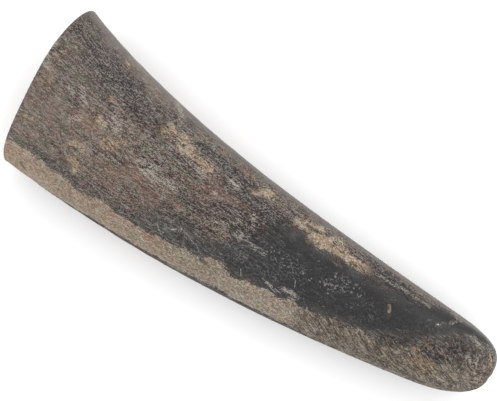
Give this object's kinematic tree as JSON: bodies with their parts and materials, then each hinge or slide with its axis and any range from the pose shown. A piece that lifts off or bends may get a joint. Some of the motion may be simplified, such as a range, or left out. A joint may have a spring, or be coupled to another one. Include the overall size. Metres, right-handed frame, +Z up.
{
  "type": "buffalo horn",
  "caption": "Hollow water-buffalo horn, sawn across at its wide end and tapering in a shallow curve to a blunt rounded tip, lying on its flatter side.",
  "frame": {"origin": "centre of the footprint's bounding box, on the surface that the horn lies on", "axes": "+Z up; +X along the horn from its sawn wide end to its tip; +Y towards the hollow side of its bend"},
  "size_m": [0.186, 0.0627, 0.0376],
  "materials": {
    "horn_keratin": "raw buffalo-horn keratin: satin to matte, charcoal and grey-brown with rasped fibrous grain, tan weathered patches and a tan abraded band along the outer lower edge"
  },
  "bodies": {
    "root": {"horn": "horn_keratin"}
  },
  "joints": []
}
